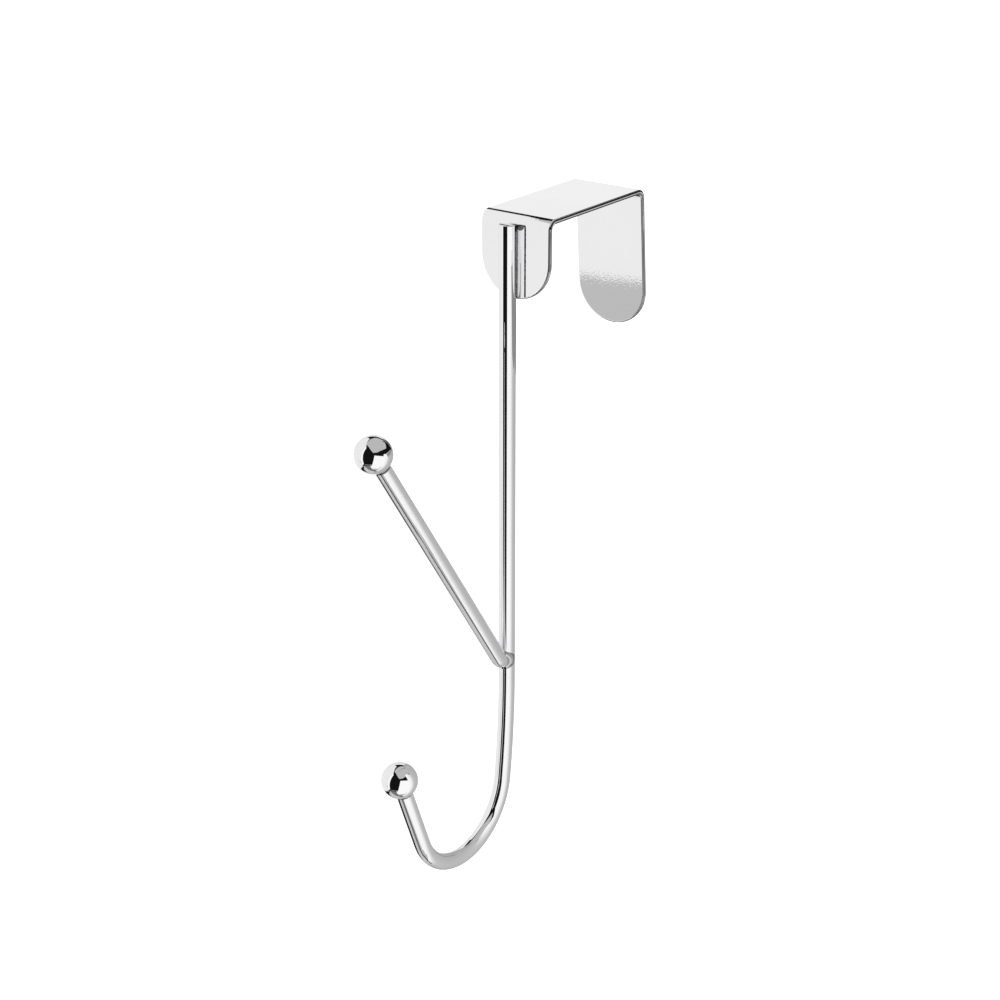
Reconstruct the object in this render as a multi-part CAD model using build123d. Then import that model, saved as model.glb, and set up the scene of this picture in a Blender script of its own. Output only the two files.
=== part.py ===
from build123d import *
import os
from math import acos, cos, degrees, radians, sin

# Over-door hook: a folded metal strip hangs on the top edge of a door and carries a bent wire hook
# with a second, upper prong. Both wires end in a ball.
# Frame: the origin is the middle of the strip's underside, where it sits on the door.
# X runs across the strip, -Y points into the room, away from the door, and Z is up. Sizes are in mm.

# Folded strip
STRIP_WIDTH = 24.0
STRIP_THICKNESS = 1.5
DOOR_GAP = 45.5
BEND_INSIDE_RADIUS = 1.5
FRONT_LEG_LENGTH = 24.5
BACK_LEG_LENGTH = 44.2
BACK_LEG_SPLAY = 4.6
STRIP_EDGE_RADIUS = 0.6

# Wire of the hook and of the prong
WIRE_DIAMETER = 5.0
WIRE_END_RADIUS = 0.2

# Stem, welded to the front leg a little to one side of the strip's centre line
STEM_OFFSET = -1.0
STEM_TOP_DROP = 2.2
STEM_BEVEL_HEIGHT = 1.6
STEM_BEVEL_DEPTH = 2.1
WELD_FLAT_DEPTH = 0.15

# Hook at the foot of the stem: a long easy lead-in, a round bend and a straight arm up to the ball
LEAD_DROP = 4.3
LEAD_RADIUS = 293.0
LEAD_TURN = 7.1
HOOK_INSIDE_RADIUS = 18.4
HOOK_TURN = 152.3
HOOK_ARM_LENGTH = 28.0

# Upper prong, from its foot on the stem to the centre of its ball
FOOT_DROP = 137.7
FOOT_STANDOFF = 0.9
FOOT_INSIDE_RADIUS = 0.5
FOOT_HORN_TRIM = 0.6
PRONG_REACH = 60.5
PRONG_RISE = 84.7

# Weld flash pressed out around the prong's foot
FLASH_HEIGHT = 0.4
FLASH_THICKNESS = 0.7

# End balls, drilled for the wire
BALL_DIAMETER = 10.8
SOCKET_DEPTH = 5.0
SOCKET_CLEARANCE = 0.03
SOCKET_MOUTH_CHAMFER = 0.35

# Places that follow from the sizes above
WIRE_RADIUS = WIRE_DIAMETER / 2
BALL_RADIUS = BALL_DIAMETER / 2
SEAT_FROM_CENTRE = BALL_RADIUS - SOCKET_DEPTH
TIP_RADIUS = STRIP_WIDTH / 2
TOP_FACE_Z = STRIP_THICKNESS
FRONT_FACE_Y = -DOOR_GAP / 2 - STRIP_THICKNESS
FRONT_TIP_Z = TOP_FACE_Z - FRONT_LEG_LENGTH
STEM_Y = FRONT_FACE_Y + WELD_FLAT_DEPTH - WIRE_RADIUS
STEM_TOP_Z = TOP_FACE_Z - STEM_TOP_DROP
FOOT_Z = TOP_FACE_Z - FOOT_DROP
LEAD_Z = FOOT_Z - LEAD_DROP
SIDE_PLANE = Plane.YZ.offset(STEM_OFFSET)
FROM_BASE = (Align.CENTER, Align.CENTER, Align.MIN)


def door_bracket():
    """Strip folded over the door, with a full-round tip on each leg and softly broken edges."""
    splay = radians(BACK_LEG_SPLAY)
    front_y = -DOOR_GAP / 2
    back_y = DOOR_GAP / 2
    front_run = FRONT_LEG_LENGTH - STRIP_THICKNESS - TIP_RADIUS
    back_run = BACK_LEG_LENGTH - STRIP_THICKNESS - TIP_RADIUS
    front_tip = (front_y, -front_run)
    back_tip = (back_y + back_run * sin(splay), -back_run * cos(splay))

    inner_line = FilletPolyline(
        front_tip, (front_y, 0), (back_y, 0), back_tip, radius=BEND_INSIDE_RADIUS
    )
    profile = make_face(offset(inner_line, amount=STRIP_THICKNESS, side=Side.LEFT))
    strip = extrude(Plane.YZ * profile, amount=STRIP_WIDTH / 2, both=True)

    half_disc = Cylinder(TIP_RADIUS, STRIP_THICKNESS, arc_size=180, align=None)
    back_normal = (0, cos(splay), sin(splay))
    front_plane = Plane(origin=(0, *front_tip), x_dir=(-1, 0, 0), z_dir=(0, -1, 0))
    back_plane = Plane(origin=(0, *back_tip), x_dir=(1, 0, 0), z_dir=back_normal)
    strip = strip + front_plane * half_disc + back_plane * half_disc

    edge_radius = min(STRIP_EDGE_RADIUS, 0.45 * STRIP_THICKNESS)
    return fillet(rim_edges(strip), edge_radius)


def has_tip_arc(face):
    """True for a face that is bounded by the arc of a leg's round tip."""
    arcs = face.edges().filter_by(GeomType.CIRCLE)
    return any(abs(arc.radius - TIP_RADIUS) < 1e-6 for arc in arcs)


def rim_edges(strip):
    """Edges where the strip's narrow side runs into its broad faces."""
    flat_sides = strip.faces().filter_by(Axis.X)
    round_sides = strip.faces().filter_by(GeomType.CYLINDER).filter_by(has_tip_arc)
    side_edges = [edge for face in flat_sides + round_sides for edge in face.edges()]
    return [edge for edge in side_edges if sum(edge.is_same(other) for other in side_edges) == 1]


def hook_path():
    """Centre line of the stem and hook, from the stem's top to its seat in the ball."""
    stem = Line((STEM_Y, STEM_TOP_Z), (STEM_Y, LEAD_Z))
    lead = JernArc(stem @ 1, stem % 1, LEAD_RADIUS, -LEAD_TURN)
    bend = JernArc(lead @ 1, lead % 1, HOOK_INSIDE_RADIUS + WIRE_RADIUS, -HOOK_TURN)
    arm = PolarLine(bend @ 1, HOOK_ARM_LENGTH - SEAT_FROM_CENTRE, direction=bend % 1)
    return SIDE_PLANE * Wire([stem, lead, bend, arm])


def prong_path():
    """Centre line of the prong, from the stem's axis to its seat in the ball."""
    corner = Vector(STEM_Y - WIRE_RADIUS - FOOT_STANDOFF, FOOT_Z)
    ball_centre = Vector(STEM_Y - PRONG_REACH, FOOT_Z + PRONG_RISE)
    seat = ball_centre - (ball_centre - corner).normalized() * SEAT_FROM_CENTRE
    foot_radius = FOOT_INSIDE_RADIUS + WIRE_RADIUS
    return SIDE_PLANE * FilletPolyline((STEM_Y, FOOT_Z), corner, seat, radius=foot_radius)


def wire_along(path):
    """Round wire along a path."""
    section = Plane(origin=path @ 0, z_dir=path % 0) * Circle(WIRE_RADIUS)
    return sweep(section, path=path)


def hook_rod(path):
    """Stem and hook in one wire, with a weld flat on its back and its top bevelled towards the leg."""
    wire = wire_along(path)
    top_edge = wire.edges().filter_by(GeomType.CIRCLE).sort_by(Axis.Z)[-1]
    wire = fillet(top_edge, min(WIRE_END_RADIUS, 0.45 * WIRE_RADIUS))
    flat_cut = Pos(STEM_OFFSET, FRONT_FACE_Y, FRONT_TIP_Z) * Box(
        WIRE_DIAMETER,
        WIRE_DIAMETER,
        STEM_TOP_Z - FRONT_TIP_Z,
        align=(Align.CENTER, Align.MIN, Align.MIN),
    )
    bevel_plane = Plane(
        origin=(STEM_OFFSET, FRONT_FACE_Y, STEM_TOP_Z - STEM_BEVEL_HEIGHT),
        x_dir=(1, 0, 0),
        z_dir=(0, STEM_BEVEL_HEIGHT, STEM_BEVEL_DEPTH),
    )
    bevel_cut = bevel_plane * Box(2 * WIRE_DIAMETER, 2 * WIRE_DIAMETER, WIRE_DIAMETER, align=FROM_BASE)
    return wire - flat_cut - bevel_cut


def prong_rod(path, stem):
    """Prong with its foot coped to the stem and a low ring of weld flash around the joint."""
    trim_point = (STEM_OFFSET, STEM_Y - FOOT_HORN_TRIM, FOOT_Z)
    foot_plane = Plane(origin=trim_point, x_dir=(1, 0, 0), z_dir=(0, -1, 0))
    flash_radius = WIRE_RADIUS + FLASH_HEIGHT
    flash_reach = WIRE_RADIUS + FLASH_THICKNESS
    flash_band = Pos(STEM_OFFSET, STEM_Y, FOOT_Z) * Cylinder(flash_reach, 4 * flash_radius)
    flash = foot_plane * Cylinder(flash_radius, 2 * flash_reach, align=FROM_BASE) & flash_band
    in_front = foot_plane * Box(4 * flash_radius, 4 * PRONG_RISE, 2 * PRONG_REACH, align=FROM_BASE)
    return (wire_along(path) & in_front) + flash - stem


def end_ball(path):
    """Ball on the end of a wire, turned with a blind socket that the wire's end seats in."""
    bore_radius = WIRE_RADIUS + SOCKET_CLEARANCE
    mouth_radius = bore_radius + SOCKET_MOUTH_CHAMFER
    mouth_angle = degrees(acos(mouth_radius / BALL_RADIUS))
    surface = CenterArc((0, 0), BALL_RADIUS, -90, 90 + mouth_angle)
    mouth = surface @ 1
    socket = Polyline(
        mouth,
        (bore_radius, mouth.Y - SOCKET_MOUTH_CHAMFER),
        (bore_radius, SEAT_FROM_CENTRE),
        (0, SEAT_FROM_CENTRE),
        surface @ 0,
    )
    turned = revolve(make_face([surface, socket]), axis=Axis.Y)

    along = path % 1
    across = Vector(1, 0, 0)
    centre = path @ 1 + along * SEAT_FROM_CENTRE
    return Plane(origin=centre, x_dir=across, z_dir=across.cross(-along)) * turned


hook_line = hook_path()
prong_line = prong_path()
stem_and_hook = hook_rod(hook_line)

NODES = {
    "door_bracket": door_bracket(),
    "hook_rod": stem_and_hook,
    "prong_rod": prong_rod(prong_line, stem_and_hook),
    "hook_ball": end_ball(hook_line),
    "prong_ball": end_ball(prong_line),
}

os.makedirs("parts", exist_ok=True)
for node, shape in NODES.items():
    export_step(shape, f"parts/{node}.step")
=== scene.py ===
import logging
import math
from dataclasses import dataclass, field
from enum import Enum

import bpy
from mathutils import Matrix, Vector

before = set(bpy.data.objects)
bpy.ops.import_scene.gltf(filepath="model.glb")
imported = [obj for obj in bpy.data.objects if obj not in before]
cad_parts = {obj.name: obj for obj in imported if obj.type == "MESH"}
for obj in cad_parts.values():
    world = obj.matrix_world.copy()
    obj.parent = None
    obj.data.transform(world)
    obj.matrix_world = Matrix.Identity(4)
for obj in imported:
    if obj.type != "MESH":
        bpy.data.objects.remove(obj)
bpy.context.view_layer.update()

LOG = logging.getLogger("over_door_hook")
MM = 0.001
Colour = tuple[float, float, float]
Point = tuple[float, float, float]
Limits = tuple[float, float]
Outline = tuple[tuple[float, float], ...]


class Tone(Enum):
    """Brightness that a studio sheet shows in the chrome, as linear light."""

    BLACK = 0.008
    CHARCOAL = 0.10
    IRON = 0.20
    SLATE = 0.30
    SCRIM = 0.58
    BRIGHT = 1.10


class Lie(Enum):
    """How a flat sheet lies: level, drawn from above, or upright at one side, drawn from there."""

    LEVEL = "level"
    SIDE = "side"


class Socket(Enum):
    """Kinds of value that a node group takes or gives."""

    NUMBER = "NodeSocketFloat"
    COLOUR = "NodeSocketColor"
    PLACE = "NodeSocketVector"


@dataclass
class NodeBench:
    """Short hand for adding and joining the nodes of one tree."""

    tree: bpy.types.NodeTree

    def add(self, kind: str, **settings: object) -> bpy.types.Node:
        """Add a node and set its own options.

        Args:
            kind: Blender's name of the node type.
            settings: Options of the node, such as its operation.

        Returns:
            The new node.
        """
        node = self.tree.nodes.new(kind)
        for option, value in settings.items():
            setattr(node, option, value)
        return node

    def join(self, start: bpy.types.NodeSocket, end: bpy.types.NodeSocket) -> None:
        """Lead an output to an input.

        Args:
            start: Output socket.
            end: Input socket.
        """
        self.tree.links.new(start, end)

    def feed(self, node: bpy.types.Node, name: str | int, value: object) -> None:
        """Give a node's input either a plain value or another node's output.

        Args:
            node: Node that has the input.
            name: Name or number of the input.
            value: Plain value, or the output socket to join to it.
        """
        if isinstance(value, bpy.types.NodeSocket):
            self.join(value, node.inputs[name])
        else:
            node.inputs[name].default_value = value

    def sum(self, operation: str, *values: object) -> bpy.types.NodeSocket:
        """Work out one number from others.

        Args:
            operation: Name of the arithmetic, such as ADD.
            values: Plain numbers or output sockets, in order.

        Returns:
            The output socket with the result.
        """
        node = self.add("ShaderNodeMath", operation=operation)
        for place, value in enumerate(values):
            self.feed(node, place, value)
        return node.outputs["Value"]

    def overlap(self, *masks: bpy.types.NodeSocket) -> bpy.types.NodeSocket:
        """Keep only what lies in all of some masks.

        Args:
            masks: Output sockets of the masks.

        Returns:
            The output socket with their product.
        """
        shared = masks[0]
        for mask in masks[1:]:
            shared = self.sum("MULTIPLY", shared, mask)
        return shared

    def rest(self, mask: bpy.types.NodeSocket) -> bpy.types.NodeSocket:
        """Turn a mask into its opposite.

        Args:
            mask: Output socket of the mask.

        Returns:
            The output socket with 1 less the mask.
        """
        return self.sum("SUBTRACT", 1.0, mask)

    def ramp(self, value: object, low: object, high: object) -> bpy.types.NodeSocket:
        """Turn a value between two limits into a soft step from 0 to 1.

        Args:
            value: Number or output socket to read.
            low: Value that gives 0.
            high: Value that gives 1.

        Returns:
            The output socket with the step.
        """
        node = self.add("ShaderNodeMapRange", interpolation_type="SMOOTHSTEP")
        self.feed(node, "Value", value)
        self.feed(node, "From Min", low)
        self.feed(node, "From Max", high)
        return node.outputs["Result"]

    def surface(self, kind: str) -> bpy.types.NodeSocket:
        """Read where the metal is or which way it faces, in the hook's own frame.

        Args:
            kind: Object for the place, or Normal for the facing.

        Returns:
            The output socket with the vector.
        """
        return self.add("ShaderNodeTexCoord").outputs[kind]

    def split(self, vector: bpy.types.NodeSocket) -> bpy.types.NodeOutputs:
        """Take a vector apart.

        Args:
            vector: Output socket of the vector.

        Returns:
            The outputs X, Y and Z.
        """
        node = self.add("ShaderNodeSeparateXYZ")
        self.join(vector, node.inputs["Vector"])
        return node.outputs

    def vector(self, operation: str, first: object, second: object = None) -> bpy.types.Node:
        """Work out something from one vector or two.

        Args:
            operation: Name of the vector arithmetic, such as SUBTRACT.
            first: Output socket of a vector.
            second: Output socket of another vector, where the operation takes two.

        Returns:
            The node, whose outputs are Vector and Value.
        """
        node = self.add("ShaderNodeVectorMath", operation=operation)
        self.feed(node, 0, first)
        if second is not None:
            self.feed(node, 1, second)
        return node

    def noise(
        self, scale: object, detail: float, coordinates: bpy.types.NodeSocket | None = None
    ) -> bpy.types.NodeSocket:
        """Add a noise that lies still on the metal.

        Args:
            scale: Features in a metre, as a number or an output socket.
            detail: How much finer noise is laid over the first.
            coordinates: Output socket of other coordinates, where they aren't the plain ones.

        Returns:
            The output socket with the noise.
        """
        node = self.add("ShaderNodeTexNoise")
        self.feed(node, "Scale", scale)
        self.feed(node, "Detail", detail)
        if coordinates is None:
            coordinates = self.surface("Object")
        self.join(coordinates, node.inputs["Vector"])
        return node.outputs["Fac"]


def blank_bench(owner: bpy.types.Material | bpy.types.World) -> NodeBench:
    """Empty the node tree of a material or world and open it for work.

    Args:
        owner: Material or world that has the tree.

    Returns:
        The bench with the empty tree.
    """
    owner.use_nodes = True
    owner.node_tree.nodes.clear()
    return NodeBench(owner.node_tree)


@dataclass
class PlatingEffects:
    """Effects of the chrome finishes, each one a node group that is made once.

    Scales are features in a metre, limits are where a soft step starts and ends, and the web's
    fade and blur are in millimetres.
    """

    noise_middle: float = 0.5
    fine_detail: float = 1.0
    peel_detail: float = 0.0
    patch_scale: float = 55.0
    patch_detail: float = 3.0
    patch_limits: Limits = (0.48, 0.72)
    mark_scale: float = 2600.0
    mark_stretch: Point = (1.0, 1.0, 0.06)
    mark_turns: tuple[Point, ...] = ((0.3, 0.5, 0.2), (-0.4, 0.2, 0.9))
    mark_limits: Limits = (0.66, 0.72)
    drift_scale: float = 32.0
    drift_detail: float = 2.0
    drift_limits: Limits = (0.35, 0.65)
    speck_scale: float = 1500.0
    speck_limits: Limits = (0.60, 0.78)
    speck_colour: Colour = (0.30, 0.29, 0.28)
    seam_scale: float = 900.0
    seam_detail: float = 2.0
    seam_waver: float = 0.08
    roll_limits: Limits = (0.50, 0.65)
    side_limits: Limits = (0.84, 0.95)
    front_roll_shift: float = 0.08
    front_side_shift: float = -0.06
    web_end_fade: float = 0.5
    web_line_blur: float = 0.12
    facing_limits: Limits = (0.90, 0.97)
    ripple: bpy.types.NodeTree = field(init=False)
    gloss: bpy.types.NodeTree = field(init=False)
    tone: bpy.types.NodeTree = field(init=False)
    seam: bpy.types.NodeTree = field(init=False)
    rim: bpy.types.NodeTree = field(init=False)
    cut: bpy.types.NodeTree = field(init=False)

    def __post_init__(self) -> None:
        """Make the groups."""
        self.ripple = self.make_ripple()
        self.gloss = self.make_gloss()
        self.tone = self.make_tone()
        self.seam = self.make_seam()
        self.rim = self.make_rim()
        self.cut = self.make_cut()

    @staticmethod
    def group(
        name: str, inputs: dict[str, Socket], outputs: dict[str, Socket]
    ) -> tuple[NodeBench, bpy.types.NodeOutputs, bpy.types.NodeInputs]:
        """Make an empty node group with named sockets.

        Args:
            name: Name of the group.
            inputs: Names and kinds of what it takes.
            outputs: Names and kinds of what it gives.

        Returns:
            The group's bench, what is given to it and what it has to give.
        """
        tree = bpy.data.node_groups.new(name, "ShaderNodeTree")
        for label, kind in inputs.items():
            tree.interface.new_socket(name=label, in_out="INPUT", socket_type=kind.value)
        for label, kind in outputs.items():
            tree.interface.new_socket(name=label, in_out="OUTPUT", socket_type=kind.value)
        bench = NodeBench(tree)
        return bench, bench.add("NodeGroupInput").outputs, bench.add("NodeGroupOutput").inputs

    def make_ripple(self) -> bpy.types.NodeTree:
        """Make the relief of the plating: slow waves from polishing and a fine orange peel.

        Returns:
            The node group.
        """
        takes = {
            "Wave Scale": Socket.NUMBER,
            "Wave Depth": Socket.NUMBER,
            "Peel Scale": Socket.NUMBER,
            "Peel Depth": Socket.NUMBER,
        }
        bench, given, result = self.group("plating_ripple", takes, {"Height": Socket.NUMBER})
        wave = bench.noise(given["Wave Scale"], self.fine_detail)
        wave = bench.sum("SUBTRACT", wave, self.noise_middle)
        peel = bench.noise(given["Peel Scale"], self.peel_detail)
        peel = bench.sum("SUBTRACT", peel, self.noise_middle)
        waves = bench.sum("MULTIPLY", wave, given["Wave Depth"])
        peels = bench.sum("MULTIPLY", peel, given["Peel Depth"])
        bench.join(bench.sum("ADD", waves, peels), result["Height"])
        return bench.tree

    def make_gloss(self) -> bpy.types.NodeTree:
        """Make the uneven gloss: hazy patches where hands touch, and short fine marks.

        Returns:
            The node group.
        """
        takes = {"Gloss": Socket.NUMBER, "Haze": Socket.NUMBER, "Marks": Socket.NUMBER}
        bench, given, result = self.group("plating_gloss", takes, {"Roughness": Socket.NUMBER})
        patch = bench.noise(self.patch_scale, self.patch_detail)
        patches = bench.ramp(patch, *self.patch_limits)
        rough = bench.sum("MULTIPLY_ADD", patches, given["Haze"], given["Gloss"])
        lines = []
        for turn in self.mark_turns:
            stretch = bench.add("ShaderNodeMapping")
            bench.join(bench.surface("Object"), stretch.inputs["Vector"])
            bench.feed(stretch, "Rotation", turn)
            bench.feed(stretch, "Scale", self.mark_stretch)
            line = bench.noise(self.mark_scale, self.fine_detail, stretch.outputs["Vector"])
            lines.append(bench.ramp(line, *self.mark_limits))
        marks = bench.sum("MAXIMUM", *lines)
        rough = bench.sum("MULTIPLY_ADD", marks, given["Marks"], rough)
        bench.join(rough, result["Roughness"])
        return bench.tree

    def make_tone(self) -> bpy.types.NodeTree:
        """Make the plating's colour, which drifts between two tints and has faint specks.

        Returns:
            The node group.
        """
        takes = {"Tint": Socket.COLOUR, "Drift Tint": Socket.COLOUR, "Speck": Socket.NUMBER}
        bench, given, result = self.group("plating_tone", takes, {"Color": Socket.COLOUR})
        cloud = bench.noise(self.drift_scale, self.drift_detail)
        drift = bench.add("ShaderNodeMix", data_type="RGBA")
        bench.join(bench.ramp(cloud, *self.drift_limits), drift.inputs["Factor"])
        bench.join(given["Tint"], drift.inputs["A"])
        bench.join(given["Drift Tint"], drift.inputs["B"])
        grain = bench.noise(self.speck_scale, self.fine_detail)
        specks = bench.overlap(bench.ramp(grain, *self.speck_limits), given["Speck"])
        dark = bench.add("ShaderNodeMix", data_type="RGBA", blend_type="MULTIPLY")
        bench.join(specks, dark.inputs["Factor"])
        bench.join(drift.outputs["Result"], dark.inputs["A"])
        bench.feed(dark, "B", (*self.speck_colour, 1.0))
        bench.join(dark.outputs["Result"], result["Color"])
        return bench.tree

    def make_seam(self) -> bpy.types.NodeTree:
        """Make the mask of painted shade, or duller plating, around a point or an upright joint,
        which fades with a broken edge.

        Returns:
            The node group.
        """
        takes = {
            "Place": Socket.PLACE,
            "Half Length": Socket.NUMBER,
            "Inner": Socket.NUMBER,
            "Outer": Socket.NUMBER,
        }
        bench, given, result = self.group("joint_seam", takes, {"Mask": Socket.NUMBER})
        away = bench.vector("SUBTRACT", bench.surface("Object"), given["Place"])
        parts = bench.split(away.outputs["Vector"])
        height = bench.sum("ABSOLUTE", parts["Z"])
        past_end = bench.sum("SUBTRACT", height, given["Half Length"])
        nearest = bench.add("ShaderNodeCombineXYZ")
        bench.join(parts["X"], nearest.inputs["X"])
        bench.join(parts["Y"], nearest.inputs["Y"])
        bench.join(bench.sum("MAXIMUM", past_end, 0.0), nearest.inputs["Z"])
        distance = bench.vector("LENGTH", nearest.outputs["Vector"]).outputs["Value"]
        grain = bench.noise(self.seam_scale, self.seam_detail)
        waver = bench.sum("MULTIPLY_ADD", grain, self.seam_waver, 1.0 - self.seam_waver / 2)
        wavered = bench.sum("MULTIPLY", distance, waver)
        fade = bench.ramp(wavered, given["Inner"], given["Outer"])
        bench.join(bench.rest(fade), result["Mask"])
        return bench.tree

    def make_rim(self) -> bpy.types.NodeTree:
        """Make the mask of the painted shade where a broad face of a folded strip rolls over into
        its narrow side.

        Returns:
            The node group.
        """
        takes = {
            "Leg Top": Socket.NUMBER,
            "Tip Top": Socket.NUMBER,
            "Front": Socket.NUMBER,
            "Web Half": Socket.NUMBER,
            "Web Line": Socket.NUMBER,
        }
        bench, given, result = self.group("strip_rim", takes, {"Mask": Socket.NUMBER})
        normal = bench.split(bench.surface("Normal"))
        place = bench.split(bench.surface("Object"))
        on_leg = bench.sum("LESS_THAN", place["Z"], given["Leg Top"])
        over_tip = bench.sum("GREATER_THAN", place["Z"], given["Tip Top"])
        in_front = bench.sum("LESS_THAN", place["Y"], given["Front"])
        on_front = bench.overlap(on_leg, over_tip, in_front)

        # How far the surface has turned from a broad face towards the narrow side
        across = bench.sum("MULTIPLY", normal["X"], normal["X"])
        upward = bench.sum("MULTIPLY", normal["Z"], normal["Z"])
        turned = bench.sum("SQRT", bench.sum("MULTIPLY_ADD", upward, on_leg, across))

        # Painted shade where the edge rolls over, and open again on the narrow side
        rolled = bench.sum("MULTIPLY_ADD", on_front, self.front_roll_shift, turned)
        sided = bench.sum("MULTIPLY_ADD", on_front, self.front_side_shift, turned)
        side = bench.ramp(sided, *self.side_limits)
        edge = bench.overlap(bench.ramp(rolled, *self.roll_limits), bench.rest(side))

        # Second line of painted shade, low on the web's narrow side
        depth = bench.sum("ABSOLUTE", place["Y"])
        past_web = bench.sum("SUBTRACT", depth, given["Web Half"])
        on_web = bench.ramp(past_web, self.web_end_fade * MM, 0.0)
        over_line = bench.sum("SUBTRACT", place["Z"], given["Web Line"])
        low = bench.ramp(over_line, self.web_line_blur * MM, -self.web_line_blur * MM)
        off_face = bench.ramp(turned, *self.roll_limits)
        line = bench.overlap(on_web, low, off_face, bench.rest(on_leg))
        bench.join(bench.sum("MAXIMUM", edge, line), result["Mask"])
        return bench.tree

    def make_cut(self) -> bpy.types.NodeTree:
        """Make the mask of one flat cut face with painted shade: what faces one way within reach
        of a place.

        Returns:
            The node group.
        """
        takes = {"Place": Socket.PLACE, "Facing": Socket.PLACE, "Reach": Socket.NUMBER}
        bench, given, result = self.group("cut_face", takes, {"Mask": Socket.NUMBER})
        away = bench.vector("DISTANCE", bench.surface("Object"), given["Place"])
        along = bench.vector("DOT_PRODUCT", bench.surface("Normal"), given["Facing"])
        near = bench.sum("LESS_THAN", away.outputs["Value"], given["Reach"])
        facing = bench.ramp(along.outputs["Value"], *self.facing_limits)
        bench.join(bench.overlap(near, facing), result["Mask"])
        return bench.tree


@dataclass(frozen=True)
class PaintedShadeAndDulling:
    """Look of a mark: painted shade over the plating's colour, or a dull joint's darker colour,
    and roughness added.
    """

    shade: Colour
    roughness: float


@dataclass(frozen=True)
class Rim:
    """Painted shade line on the edges of a folded strip, with places on its legs and web in
    millimetres.
    """

    leg_top: float
    tip_top: float
    front: float
    web_half: float
    web_line: float
    shade_and_dulling: PaintedShadeAndDulling


@dataclass(frozen=True)
class Seam:
    """Painted shade, or duller plating, around a joint: its place, and where it starts to fade and
    ends, in millimetres.
    """

    place: Point
    fade: Limits
    shade_and_dulling: PaintedShadeAndDulling
    half_length: float = 0.0


@dataclass(frozen=True)
class Cut:
    """Flat cut face with painted shade: its place and reach in millimetres."""

    place: Point
    facing: Point
    reach: float
    shade_and_dulling: PaintedShadeAndDulling


Mark = Seam | Rim | Cut


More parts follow.
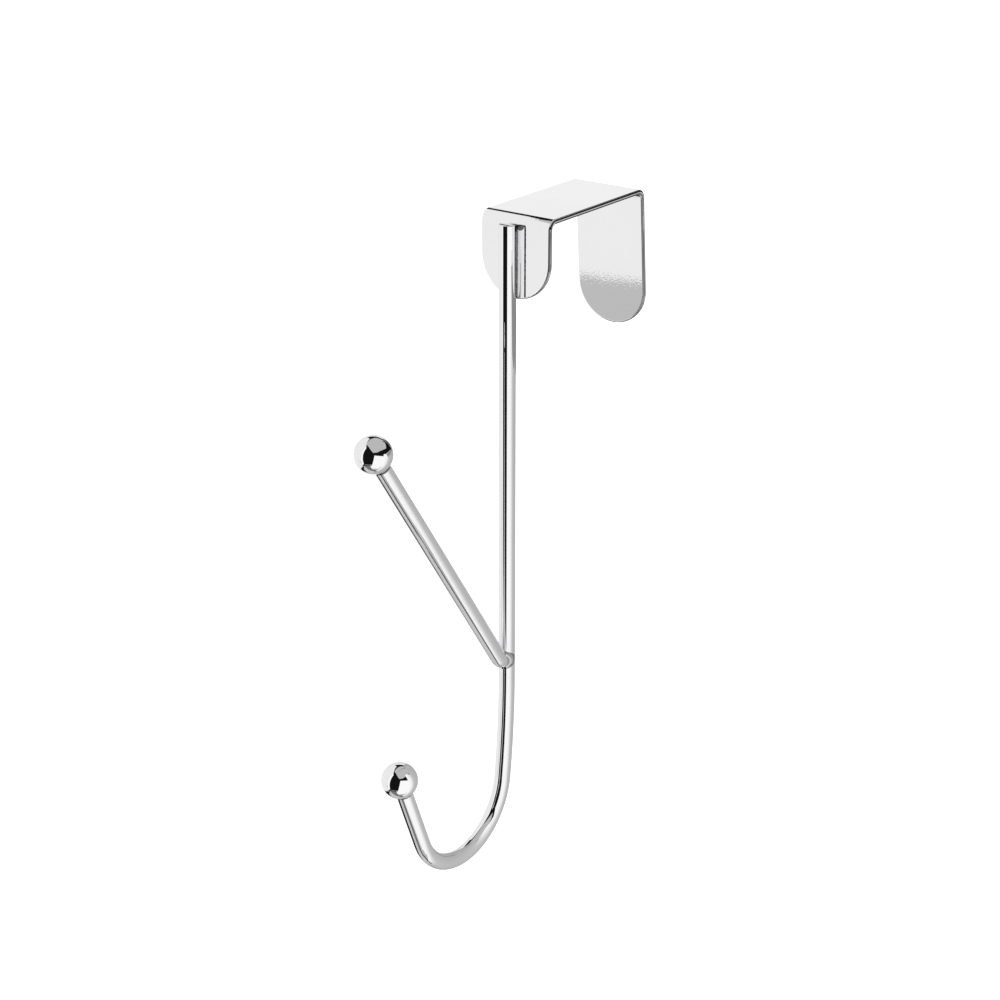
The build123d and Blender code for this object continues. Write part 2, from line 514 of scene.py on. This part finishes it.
@dataclass(frozen=True)
class ChromeFinish:
    """Polished chrome plating: a mirror with waves, a fine orange peel and an uneven gloss.

    Widths, depths and heights are in millimetres.
    """

    name: str
    tint: Colour
    drift_tint: Colour
    gloss: float
    haze: float
    marks: float
    speck: float
    wave_width: float
    wave_depth: float
    peel_width: float
    peel_depth: float
    low_peel_depth: float
    low_peel_top: float = -150.0
    low_peel_fade: float = 15.0

    def material(self, effects: PlatingEffects, marks: tuple[Mark, ...]) -> bpy.types.Material:
        """Make the plating's material.

        Args:
            effects: Node groups that the finishes share.
            marks: Joints, edges and cut faces with painted shade, and joints with duller plating.

        Returns:
            The new material, ready for a mesh.
        """
        material = bpy.data.materials.new(self.name)
        material.use_nodes = True
        bench = NodeBench(material.node_tree)
        shader = bench.tree.nodes["Principled BSDF"]
        bench.feed(shader, "Metallic", 1.0)

        tone = bench.add("ShaderNodeGroup", node_tree=effects.tone)
        bench.feed(tone, "Tint", (*self.tint, 1.0))
        bench.feed(tone, "Drift Tint", (*self.drift_tint, 1.0))
        bench.feed(tone, "Speck", self.speck)
        gloss = bench.add("ShaderNodeGroup", node_tree=effects.gloss)
        bench.feed(gloss, "Gloss", self.gloss)
        bench.feed(gloss, "Haze", self.haze)
        bench.feed(gloss, "Marks", self.marks)

        colour, roughness = tone.outputs["Color"], gloss.outputs["Roughness"]
        # Each mark's painted shade, or a dull joint's darker colour, is multiplied into the colour
        for mark in marks:
            mask = self.mask(bench, effects, mark)
            shade_mix = bench.add("ShaderNodeMix", data_type="RGBA", blend_type="MULTIPLY")
            bench.join(mask, shade_mix.inputs["Factor"])
            bench.join(colour, shade_mix.inputs["A"])
            bench.feed(shade_mix, "B", (*mark.shade_and_dulling.shade, 1.0))
            colour = shade_mix.outputs["Result"]
            roughness = bench.sum("MULTIPLY_ADD", mask, mark.shade_and_dulling.roughness, roughness)
        bench.join(colour, shader.inputs["Base Color"])
        bench.join(roughness, shader.inputs["Roughness"])

        ripple = bench.add("ShaderNodeGroup", node_tree=effects.ripple)
        bench.feed(ripple, "Wave Scale", 1.0 / (self.wave_width * MM))
        bench.feed(ripple, "Wave Depth", self.wave_depth * MM)
        bench.feed(ripple, "Peel Scale", 1.0 / (self.peel_width * MM))
        bench.feed(ripple, "Peel Depth", self.peel(bench))
        bump = bench.add("ShaderNodeBump")
        bench.feed(bump, "Strength", 1.0)
        bench.feed(bump, "Distance", 1.0)
        bench.join(ripple.outputs["Height"], bump.inputs["Height"])
        bench.join(bump.outputs["Normal"], shader.inputs["Normal"])
        return material

    def peel(self, bench: NodeBench) -> bpy.types.NodeSocket:
        """Work out how deep the orange peel is, which changes towards the foot of a long piece.

        Args:
            bench: Tree that gets the nodes.

        Returns:
            The output socket with the depth in metres.
        """
        height = bench.split(bench.surface("Object"))["Z"]
        foot = (self.low_peel_top - self.low_peel_fade) * MM
        share = bench.ramp(height, foot, self.low_peel_top * MM)
        change = (self.peel_depth - self.low_peel_depth) * MM
        return bench.sum("MULTIPLY_ADD", share, change, self.low_peel_depth * MM)

    @staticmethod
    def mask(bench: NodeBench, effects: PlatingEffects, mark: Mark) -> bpy.types.NodeSocket:
        """Add the mask of a joint's mark, an edge line or a cut face.

        Args:
            bench: Tree that gets the nodes.
            effects: Node groups that the finishes share.
            mark: Joint, edge line or cut face to mask.

        Returns:
            The output socket with the mask.
        """
        if isinstance(mark, Seam):
            group = bench.add("ShaderNodeGroup", node_tree=effects.seam)
            inner, outer = mark.fade
            bench.feed(group, "Place", tuple(value * MM for value in mark.place))
            bench.feed(group, "Half Length", mark.half_length * MM)
            bench.feed(group, "Inner", inner * MM)
            bench.feed(group, "Outer", outer * MM)
        elif isinstance(mark, Cut):
            group = bench.add("ShaderNodeGroup", node_tree=effects.cut)
            bench.feed(group, "Place", tuple(value * MM for value in mark.place))
            bench.feed(group, "Facing", mark.facing)
            bench.feed(group, "Reach", mark.reach * MM)
        else:
            group = bench.add("ShaderNodeGroup", node_tree=effects.rim)
            bench.feed(group, "Leg Top", mark.leg_top * MM)
            bench.feed(group, "Tip Top", mark.tip_top * MM)
            bench.feed(group, "Front", mark.front * MM)
            bench.feed(group, "Web Half", mark.web_half * MM)
            bench.feed(group, "Web Line", mark.web_line * MM)
        return group.outputs["Mask"]


STRIP_CHROME = ChromeFinish(
    "bracket_chrome", tint=(0.84, 0.84, 0.845), drift_tint=(0.82, 0.82, 0.83),
    gloss=0.014, haze=0.012, marks=0.03, speck=0.05, wave_width=9.0, wave_depth=0.002,
    peel_width=0.5, peel_depth=0.0022, low_peel_depth=0.0022,
)
HOOK_CHROME = ChromeFinish(
    "hook_chrome", tint=(0.83, 0.83, 0.835), drift_tint=(0.80, 0.80, 0.81),
    gloss=0.02, haze=0.008, marks=0.006, speck=0.06, wave_width=4.0, wave_depth=0.0012,
    peel_width=0.5, peel_depth=0.0001, low_peel_depth=0.0010,
)
PRONG_CHROME = ChromeFinish(
    "prong_chrome", tint=(0.83, 0.83, 0.835), drift_tint=(0.80, 0.80, 0.81),
    gloss=0.025, haze=0.02, marks=0.05, speck=0.20, wave_width=4.0, wave_depth=0.002,
    peel_width=0.4, peel_depth=0.0010, low_peel_depth=0.0010,
)
BALL_CHROME = ChromeFinish(
    "end_ball_chrome", tint=(0.84, 0.84, 0.845), drift_tint=(0.81, 0.81, 0.82),
    gloss=0.018, haze=0.015, marks=0.04, speck=0.12, wave_width=2.6, wave_depth=0.002,
    peel_width=0.4, peel_depth=0.0007, low_peel_depth=0.0007,
)
# Painted shade for the marks: dark reflections and contact shade put into the colour; only DULL is
# a duller, darker joint
EDGE_PAINTED_SHADE = PaintedShadeAndDulling((0.18, 0.18, 0.18), 0.06)
DEEP_PAINTED_SHADE = PaintedShadeAndDulling((0.15, 0.15, 0.15), 0.1)
MID_PAINTED_SHADE = PaintedShadeAndDulling((0.30, 0.30, 0.30), 0.1)
DULL = PaintedShadeAndDulling((0.62, 0.61, 0.60), 0.15)
GAP_PAINTED_SHADE = PaintedShadeAndDulling((0.16, 0.16, 0.16), 0.1)


def dress(node: str, material: bpy.types.Material) -> None:
    """Give a solid of the frame its finish.

    Args:
        node: Name of the solid.
        material: Finish to put on it.
    """
    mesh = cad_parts[node].data
    mesh.materials.clear()
    mesh.materials.append(material)
    LOG.info("%s: %d faces, finish %s", node, len(mesh.polygons), material.name)


@dataclass
class DoorBracket:
    """Strip folded over the door, with the places of its painted shade lines in millimetres."""

    leg_top: float = -1.6
    tip_top: float = -13.0
    front: float = -20.0
    web_half: float = 21.3
    web_line: float = 0.6

    def dress(self, effects: PlatingEffects) -> None:
        """Plate the strip, with painted shade along its rolled edges.

        Args:
            effects: Node groups that the finishes share.
        """
        # Painted shade: the dark reflection along the rolled edges, put into the plating's colour
        rim = Rim(
            self.leg_top, self.tip_top, self.front, self.web_half, self.web_line, EDGE_PAINTED_SHADE
        )
        dress("door_bracket", STRIP_CHROME.material(effects, (rim,)))


@dataclass
class HookWires:
    """Stem with its hook, and the upper prong welded to it, with their marks in millimetres."""

    weld_middle: Point = (-1.0, -24.25, -12.2)
    weld_half: float = 10.8
    weld_fade: Limits = (1.5, 1.9)
    stem_bevel: Point = (1.0, -25.0, -1.7)
    bevel_facing: Point = (0.0, 0.606, 0.795)
    bevel_reach: float = 1.5
    bevel_corner: Point = (1.2, -25.3, -1.7)
    corner_fade: Limits = (1.2, 1.45)
    foot: Point = (-1.0, -28.0, -136.2)
    stem_foot_fade: Limits = (3.2, 3.45)
    prong_foot_fade: Limits = (2.7, 3.3)
    hook_ball_seat: Point = (-1.0, -77.93, -158.18)
    hook_ball_fade: Limits = (3.45, 3.6)
    prong_ball_seat: Point = (-1.0, -85.39, -54.05)
    prong_ball_fade: Limits = (3.7, 3.88)

    def dress(self, effects: PlatingEffects) -> None:
        """Plate both wires, with painted shade at the welds, at the cut top and at the balls, and
        duller plating at the prong's foot.

        Args:
            effects: Node groups that the finishes share.
        """
        # Painted shade: contact shade along the weld and round the prong's foot, the dark wedge on
        # the cut top, and the dark line by the hook ball
        hook_marks = (
            Seam(self.weld_middle, self.weld_fade, DEEP_PAINTED_SHADE, self.weld_half),
            Cut(self.stem_bevel, self.bevel_facing, self.bevel_reach, DEEP_PAINTED_SHADE),
            Seam(self.bevel_corner, self.corner_fade, DEEP_PAINTED_SHADE),
            Seam(self.foot, self.stem_foot_fade, MID_PAINTED_SHADE),
            Seam(self.hook_ball_seat, self.hook_ball_fade, DEEP_PAINTED_SHADE),
        )
        # Duller, darker plating at the prong's foot, and painted shade by the prong's ball
        prong_marks = (
            Seam(self.foot, self.prong_foot_fade, DULL),
            Seam(self.prong_ball_seat, self.prong_ball_fade, DEEP_PAINTED_SHADE),
        )
        dress("hook_rod", HOOK_CHROME.material(effects, hook_marks))
        dress("prong_rod", PRONG_CHROME.material(effects, prong_marks))


@dataclass
class EndBalls:
    """Balls on the ends of the hook and of the prong, with their mouths in millimetres."""

    hook_mouth: Point = (-1.0, -77.4, -159.6)
    prong_mouth: Point = (-1.0, -84.55, -55.3)
    mouth_fade: Limits = (2.95, 3.25)

    def dress(self, effects: PlatingEffects) -> None:
        """Plate both balls, each with a painted shade line where the wire enters it.

        Args:
            effects: Node groups that the finishes share.
        """
        mouths = (self.hook_mouth, self.prong_mouth)
        # Painted shade: the dark contact line where each wire enters its ball
        seams = tuple(Seam(mouth, self.mouth_fade, GAP_PAINTED_SHADE) for mouth in mouths)
        finish = BALL_CHROME.material(effects, seams)
        for node in ("hook_ball", "prong_ball"):
            dress(node, finish)


def stage_mesh(
    name: str, corners: list[Vector], faces: list[tuple[int, ...]], tones: list[float]
) -> None:
    """Put a studio mesh in the scene that glows softly and that only reflections show.

    Args:
        name: Name of the object and of its material.
        corners: Corners of the mesh, in metres.
        faces: Numbers of each face's corners.
        tones: Brightness at each corner.
    """
    mesh = bpy.data.meshes.new(name)
    mesh.from_pydata([tuple(corner) for corner in corners], [], faces)
    layer = mesh.color_attributes.new("tone", "FLOAT_COLOR", "POINT")
    for place, tone in enumerate(tones):
        layer.data[place].color = (tone, tone, tone, 1.0)
    sheet = bpy.data.objects.new(name, mesh)
    bpy.context.scene.collection.objects.link(sheet)

    material = bpy.data.materials.new(name)
    bench = blank_bench(material)
    output = bench.add("ShaderNodeOutputMaterial")
    glow = bench.add("ShaderNodeEmission")
    shade = bench.add("ShaderNodeAttribute", attribute_name="tone")
    bench.join(shade.outputs["Color"], glow.inputs["Color"])
    bench.join(glow.outputs["Emission"], output.inputs["Surface"])
    mesh.materials.append(material)
    sheet.visible_camera = False
    sheet.visible_shadow = False


def stage_sheet(name: str, corners: list[Vector], tones: list[float]) -> None:
    """Put a studio sheet of one face in the scene.

    Args:
        name: Name of the sheet.
        corners: The sheet's corners in order, in metres.
        tones: Brightness at each corner.
    """
    stage_mesh(name, corners, [tuple(range(len(corners)))], tones)


@dataclass(frozen=True)
class UprightCard:
    """Card that stands around the hook, in degrees and millimetres, with a tone at each edge."""

    name: str
    azimuth: float
    distance: float
    left: float
    right: float
    bottom: float
    top: float
    left_tone: float
    right_tone: float
    roll: float = 0.0

    def build(self, middle: Vector) -> None:
        """Stand the card up.

        Args:
            middle: Point that the card faces, in millimetres.
        """
        turn = math.radians(self.azimuth)
        outward = Vector((math.sin(turn), -math.cos(turn), 0.0))
        across = Vector((math.cos(turn), math.sin(turn), 0.0))
        upward = Vector((0.0, 0.0, 1.0))
        lean = Matrix.Rotation(math.radians(self.roll), 3, outward)
        foot = middle + outward * self.distance
        sides = (
            (self.left, self.bottom, self.left_tone),
            (self.right, self.bottom, self.right_tone),
            (self.right, self.top, self.right_tone),
            (self.left, self.top, self.left_tone),
        )
        corners = [(foot + lean @ (across * x + upward * z)) * MM for x, z, _ in sides]
        stage_sheet(self.name, corners, [tone for _, _, tone in sides])


@dataclass(frozen=True)
class FlatCard:
    """Card of one tone that lies level at a height or stands at one side, in millimetres."""

    name: str
    lie: Lie
    offset: float
    tone: Tone
    outline: Outline

    def build(self) -> None:
        """Lay the card or stand it up."""
        if self.lie is Lie.LEVEL:
            corners = [Vector((x, y, self.offset)) * MM for x, y in self.outline]
        else:
            corners = [Vector((self.offset, y, z)) * MM for y, z in self.outline]
        stage_sheet(self.name, corners, [self.tone.value] * len(corners))


@dataclass(frozen=True)
class GradedWall:
    """Wall beside the hook that grows darker towards the back, with its tone at a few depths."""

    name: str
    side: float
    bottom: float
    top: float
    stops: tuple[tuple[float, float], ...]

    def build(self) -> None:
        """Stand the wall up, one sheet between each two depths."""
        for step, (start, end) in enumerate(zip(self.stops, self.stops[1:])):
            (near, near_tone), (far, far_tone) = start, end
            sides = ((near, self.bottom), (far, self.bottom), (far, self.top), (near, self.top))
            corners = [Vector((self.side, y, z)) * MM for y, z in sides]
            tones = [near_tone, far_tone, far_tone, near_tone]
            stage_sheet(f"{self.name}_{step}", corners, tones)


@dataclass
class Studio:
    """Pale floor, soft panels and dark surroundings that the chrome mirrors, in millimetres."""

    middle: Vector = field(default_factory=lambda: Vector((-1.0, -60.0, -100.0)))
    ambient: float = 0.5
    floor_height: float = -1250.0
    floor_half: float = 12000.0
    floor_paint: Colour = (0.7, 0.7, 0.7)
    floor_mirrored: float = 0.3
    room_radius: float = 1500.0
    room_height: float = 1600.0
    room_sides: int = 48
    upright: tuple[UprightCard, ...] = (
        UprightCard(
            "key_panel", azimuth=-75.0, distance=900.0, left=-960.0, right=1170.0,
            bottom=-960.0, top=1600.0, left_tone=0.98, right_tone=1.0,
        ),
        UprightCard(
            "key_strip", azimuth=-75.0, distance=895.0, left=830.0, right=1163.0,
            bottom=-955.0, top=1590.0, left_tone=1.2, right_tone=1.2,
        ),
        UprightCard(
            "fill_panel", azimuth=73.0, distance=410.0, left=-264.0, right=300.0,
            bottom=-900.0, top=108.0, left_tone=1.15, right_tone=1.15, roll=-15.6,
        ),
        UprightCard(
            "back_board", azimuth=-150.0, distance=600.0, left=0.0, right=680.0,
            bottom=-700.0, top=385.0, left_tone=0.80, right_tone=0.98,
        ),
        UprightCard(
            "back_edge", azimuth=-150.0, distance=600.0, left=-160.0, right=0.0,
            bottom=-700.0, top=385.0, left_tone=0.60, right_tone=0.80,
        ),
        UprightCard(
            "back_top", azimuth=-150.0, distance=595.0, left=-160.0, right=680.0,
            bottom=170.0, top=385.0, left_tone=1.0, right_tone=1.0,
        ),
        UprightCard(
            "rear_board", azimuth=180.0, distance=74.0, left=-150.0, right=37.0,
            bottom=-700.0, top=42.0, left_tone=0.70, right_tone=0.45, roll=8.0,
        ),
        UprightCard(
            "knee_card", azimuth=-34.0, distance=850.0, left=-55.0, right=60.0,
            bottom=-480.0, top=-340.0, left_tone=0.60, right_tone=0.60, roll=-12.0,
        ),
    )
    side_wall: GradedWall = GradedWall(
        "side_wall", side=100.0, bottom=-800.0, top=-35.0,
        stops=((-70.0, 1.15), (-38.0, 1.08), (0.0, 0.78), (14.0, 0.70), (300.0, 0.40)),
    )
    flat: tuple[FlatCard, ...] = (
        FlatCard(
            "side_shade", Lie.SIDE, 99.0, Tone.SLATE,
            ((-28.0, -40.0), (0.0, -73.0), (90.0, -94.0), (200.0, -120.0), (200.0, -40.0)),
        ),
        FlatCard(
            "scrim", Lie.LEVEL, 260.0, Tone.SCRIM,
            (
                (-40.0, -265.0), (150.0, -400.0), (335.0, -485.0), (470.0, -300.0),
                (470.0, 440.0), (90.0, 440.0), (-70.0, 305.0), (-160.0, 190.0),
                (-172.0, 60.0), (-170.0, -60.0), (-170.0, -190.0),
            ),
        ),
        FlatCard(
            "floor_glow", Lie.LEVEL, -1240.0, Tone.BRIGHT,
            ((150.0, -600.0), (260.0, -1130.0), (700.0, -900.0), (420.0, -420.0)),
        ),
        FlatCard(
            "floor_slot_right", Lie.LEVEL, -1235.0, Tone.CHARCOAL,
            (
                (-10.0, -430.0), (90.0, -400.0), (190.0, -260.0), (215.0, -120.0),
                (200.0, 40.0), (100.0, 130.0), (0.0, 130.0), (20.0, -60.0), (0.0, -200.0),
            ),
        ),
        # Grey card of painted floor shade in front, seen only in the chrome
        FlatCard(
            "front_floor_shade", Lie.LEVEL, -1240.0, Tone.IRON,
            (
                (-480.0, -1040.0), (-400.0, -1160.0), (0.0, -1230.0), (330.0, -1180.0),
                (200.0, -600.0), (60.0, -260.0), (-60.0, -240.0), (-220.0, -560.0),
            ),
        ),
        FlatCard(
            "front_dark", Lie.LEVEL, -1234.0, Tone.BLACK,
            (
                (-740.0, -960.0), (-400.0, -1160.0), (0.0, -1230.0), (330.0, -1180.0),
                (430.0, -1420.0), (-540.0, -1400.0), (-930.0, -1180.0),
            ),
        ),
        FlatCard(
            "floor_slot_left", Lie.LEVEL, -1235.0, Tone.BLACK,
            (
                (-590.0, 150.0), (-640.0, -65.0), (-690.0, -450.0), (-560.0, -820.0),
                (-640.0, -960.0), (-850.0, -600.0), (-1080.0, -46.0), (-1120.0, 300.0),
            ),
        ),
    )

    def build(self) -> None:
        """Set up the background, the floor, the dark room and the cards."""
        self.background()
        self.floor()
        self.dark_room()
        for card in self.upright:
            card.build(self.middle)
        self.side_wall.build()
        for sheet in self.flat:
            sheet.build()

    @staticmethod
    def view_rays(bench: NodeBench) -> tuple[bpy.types.NodeSocket, bpy.types.NodeSocket]:
        """Tell the rays that show things from those that only carry light.

        Args:
            bench: Tree that gets the nodes.

        Returns:
            Two output sockets: 1 for the camera's own rays, and 1 for mirrored ones.
        """
        path = bench.add("ShaderNodeLightPath").outputs
        mirrored = bench.sum("MAXIMUM", path["Is Glossy Ray"], path["Is Transmission Ray"])
        return path["Is Camera Ray"], mirrored

    def background(self) -> None:
        """White surroundings to look at, and a soft grey light from all round."""
        world = bpy.data.worlds.new("studio")
        bpy.context.scene.world = world
        bench = blank_bench(world)
        output = bench.add("ShaderNodeOutputWorld")
        background = bench.add("ShaderNodeBackground")
        seen = bench.sum("MAXIMUM", *self.view_rays(bench))
        strength = bench.sum("MULTIPLY_ADD", seen, 1.0 - self.ambient, self.ambient)
        bench.join(strength, background.inputs["Strength"])
        bench.feed(background, "Color", (1.0, 1.0, 1.0, 1.0))
        bench.join(background.outputs["Background"], output.inputs["Surface"])

    def floor(self) -> None:
        """Pale floor far below the hook, white to the camera and shaded by what is over it."""
        half, height = self.floor_half, self.floor_height
        sides = ((-half, -half), (half, -half), (half, half), (-half, half))
        corners = [tuple(Vector((x, y, height)) * MM) for x, y in sides]
        mesh = bpy.data.meshes.new("floor")
        mesh.from_pydata(corners, [], [tuple(range(len(corners)))])
        floor = bpy.data.objects.new("floor", mesh)
        bpy.context.scene.collection.objects.link(floor)

        material = bpy.data.materials.new("floor")
        bench = blank_bench(material)
        output = bench.add("ShaderNodeOutputMaterial")
        paint = bench.add("ShaderNodeBsdfDiffuse")
        bench.feed(paint, "Color", (*self.floor_paint, 1.0))
        glow = bench.add("ShaderNodeEmission")
        seen, mirrored = self.view_rays(bench)
        dimmed = bench.sum("MULTIPLY", mirrored, self.floor_mirrored)
        bench.join(bench.sum("MAXIMUM", seen, dimmed), glow.inputs["Strength"])
        both = bench.add("ShaderNodeAddShader")
        bench.join(paint.outputs["BSDF"], both.inputs[0])
        bench.join(glow.outputs["Emission"], both.inputs[1])
        bench.join(both.outputs["Shader"], output.inputs["Surface"])
        mesh.materials.append(material)

    def dark_room(self) -> None:
        """Dark walls and ceiling, seen in the chrome between the panels."""
        count = self.room_sides
        turns = [2 * math.pi * step / count for step in range(count)]
        corners = []
        for z in (self.floor_height, self.room_height):
            for turn in turns:
                x = self.middle.x + math.sin(turn) * self.room_radius
                y = self.middle.y - math.cos(turn) * self.room_radius
                corners.append(Vector((x, y, z)) * MM)
        faces = []
        for step in range(count):
            after = (step + 1) % count
            faces.append((step, after, after + count, step + count))
        faces.append(tuple(range(count, 2 * count)))
        stage_mesh("dark_room", corners, faces, [Tone.BLACK.value] * len(corners))


@dataclass
class Camera:
    """Camera at the photograph's viewing angle, in degrees and millimetres."""

    azimuth: float = 36.609
    elevation: float = 22.228
    distance: float = 618.971
    target: Point = (-5.345, -24.25, -86.32)
    lens: float = 74.62
    sensor: float = 36.0
    nearest: float = 10.0

    def build(self) -> None:
        """Place the camera and make it the scene's own."""
        turn = math.radians(self.azimuth)
        rise = math.radians(self.elevation)
        level = math.cos(rise)
        back = Vector((math.sin(turn) * level, -math.cos(turn) * level, math.sin(rise)))
        data = bpy.data.cameras.new("camera")
        data.lens = self.lens
        data.sensor_width = self.sensor
        data.clip_start = self.nearest * MM
        camera = bpy.data.objects.new("camera", data)
        camera.location = Vector(self.target) * MM + back * (self.distance * MM)
        camera.rotation_euler = back.to_track_quat("Z", "Y").to_euler()
        bpy.context.scene.collection.objects.link(camera)
        bpy.context.scene.camera = camera


def main() -> None:
    """Dress the hook, light it and report each piece."""
    effects = PlatingEffects()
    DoorBracket().dress(effects)
    HookWires().dress(effects)
    EndBalls().dress(effects)
    Studio().build()
    Camera().build()
    bpy.context.scene.view_settings.view_transform = "Standard"


if __name__ == "__main__":
    logging.basicConfig(level=logging.INFO, format="%(message)s")
    main()
